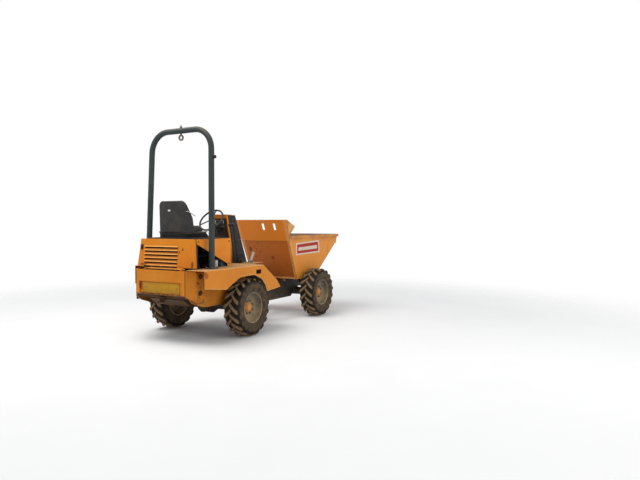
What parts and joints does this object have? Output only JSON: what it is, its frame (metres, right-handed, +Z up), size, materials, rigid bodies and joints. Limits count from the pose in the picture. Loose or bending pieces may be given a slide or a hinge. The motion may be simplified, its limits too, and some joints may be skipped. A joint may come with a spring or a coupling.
{
  "type": "articulated site dumper",
  "caption": "Small articulated site dumper: driver's seat over a louvred engine cover, two-post roll-over hoop, and a forward-tipping skip on a pivoted front chassis.",
  "frame": {"origin": "centre of the bounding box at ground level, wheels on the ground", "axes": "+Y forward, towards the skip; +Z up; +X to the driver's right"},
  "size_m": [1.5686, 3.64, 2.7724],
  "materials": {
    "orange_paint": "satin, dusty",
    "cast_orange": "rough casting, painted",
    "skip_orange": "worn satin",
    "hoop_grey": "satin",
    "black_paint": "satin",
    "axle_black": "oily",
    "engine_dark": "matt",
    "radiator_black": "matt",
    "seat_plastic": "grained",
    "seat_vinyl": "vinyl",
    "dash_plastic": "grained",
    "wheel_plastic": "smooth",
    "plate_yellow": "reflective, blank",
    "bar_white": "dusty",
    "bare_steel": "dull",
    "ram_chrome": "polished",
    "rim_grey": "dusty",
    "hub_orange": "satin",
    "tyre_rubber": "dusty"
  },
  "bodies": {
    "rear_chassis": {"console": "orange_paint", "console_cover": "black_paint", "control_levers": "black_paint", "counterweight": "cast_orange", "dash": "dash_plastic", "engine": "engine_dark", "floor_plate": "orange_paint", "hoop": "hoop_grey", "lifting_eye": "bare_steel", "lock_bar": "bar_white", "mudguard_left": "orange_paint", "mudguard_right": "orange_paint", "number_plate": "plate_yellow", "pedals": "black_paint", "radiator": "radiator_black", "rear_axle": "axle_black", "rear_frame": "orange_paint", "seat_back_pad": "seat_vinyl", "seat_base": "seat_plastic", "seat_cushion": "seat_vinyl", "seat_deck": "orange_paint", "seat_shell": "seat_plastic", "steering_column": "black_paint", "steering_wheel": "wheel_plastic", "tow_hitch": "bare_steel"},
    "engine_cover": {"engine_cover": "orange_paint"},
    "pivot_yoke": {"pivot_yoke": "axle_black"},
    "front_chassis": {"front_chassis": "black_paint", "front_axle": "axle_black"},
    "skip": {"skip": "skip_orange"},
    "tip_ram_barrel": {"tip_ram_barrel": "black_paint"},
    "tip_ram_rod": {"tip_ram_rod": "ram_chrome"},
    "steer_ram_barrel": {"steer_ram_barrel": "black_paint"},
    "steer_ram_rod": {"steer_ram_rod": "ram_chrome"},
    "wheel_front_right": {"tyre_front_right": "tyre_rubber", "rim_front_right": "rim_grey", "hub_front_right": "hub_orange"},
    "wheel_front_left": {"tyre_front_left": "tyre_rubber", "rim_front_left": "rim_grey", "hub_front_left": "hub_orange"},
    "wheel_rear_right": {"tyre_rear_right": "tyre_rubber", "rim_rear_right": "rim_grey", "hub_rear_right": "hub_orange"},
    "wheel_rear_left": {"tyre_rear_left": "tyre_rubber", "rim_rear_left": "rim_grey", "hub_rear_left": "hub_orange"}
  },
  "joints": [
    {"name": "engine_cover_hinge", "type": "hinge", "parent": "rear_chassis", "child": "engine_cover", "pos_m": [0, -1.712, 0.927], "axis": [1, 0, 0], "range_deg": [0, 75]},
    {"name": "articulation", "type": "hinge", "parent": "rear_chassis", "child": "pivot_yoke", "pos_m": [0, -0.02, 0.5325], "axis": [0, 0, 1], "range_deg": [-33, 33]},
    {"name": "chassis_roll", "type": "hinge", "parent": "pivot_yoke", "child": "front_chassis", "pos_m": [0, 0.09, 0.5325], "axis": [0, 1, 0], "range_deg": [-8, 8]},
    {"name": "skip_tip", "type": "hinge", "parent": "front_chassis", "child": "skip", "pos_m": [0, 1.23, 0.54], "axis": [-1, 0, 0], "range_deg": [0, 70]},
    {"name": "tip_ram_swing", "type": "hinge", "parent": "front_chassis", "child": "tip_ram_barrel", "pos_m": [0, 0.17, 0.36], "axis": [1, 0, 0], "range_deg": [0, 11.4]},
    {"name": "tip_ram_stroke", "type": "slide", "parent": "tip_ram_barrel", "child": "tip_ram_rod", "axis": [0, 0.9766, 0.2151], "range_m": [0, 0.181]},
    {"name": "steer_ram_swing", "type": "hinge", "parent": "rear_chassis", "child": "steer_ram_barrel", "pos_m": [-0.14, -0.36, 0.5325], "axis": [0, 0, 1], "range_deg": [-3.6, 3.6]},
    {"name": "steer_ram_stroke", "type": "slide", "parent": "steer_ram_barrel", "child": "steer_ram_rod", "axis": [0.0256, 0.9997, 0], "range_m": [-0.074, 0.074]},
    {"name": "wheel_front_right_spin", "type": "hinge", "parent": "front_chassis", "child": "wheel_front_right", "pos_m": [0.655, 1.06, 0.38], "axis": [1, 0, 0], "continuous": true},
    {"name": "wheel_front_left_spin", "type": "hinge", "parent": "front_chassis", "child": "wheel_front_left", "pos_m": [-0.655, 1.06, 0.38], "axis": [1, 0, 0], "continuous": true},
    {"name": "wheel_rear_right_spin", "type": "hinge", "parent": "rear_chassis", "child": "wheel_rear_right", "pos_m": [0.655, -0.87, 0.38], "axis": [1, 0, 0], "continuous": true},
    {"name": "wheel_rear_left_spin", "type": "hinge", "parent": "rear_chassis", "child": "wheel_rear_left", "pos_m": [-0.655, -0.87, 0.38], "axis": [1, 0, 0], "continuous": true}
  ],
  "couplings": [
    {"joint": "tip_ram_swing", "follows": "skip_tip", "ratio": 0.1617},
    {"joint": "tip_ram_stroke", "follows": "skip_tip", "m_per_rad": 0.14741},
    {"joint": "steer_ram_swing", "follows": "articulation", "ratio": 0.1074},
    {"joint": "steer_ram_stroke", "follows": "articulation", "m_per_rad": -0.12797}
  ]
}
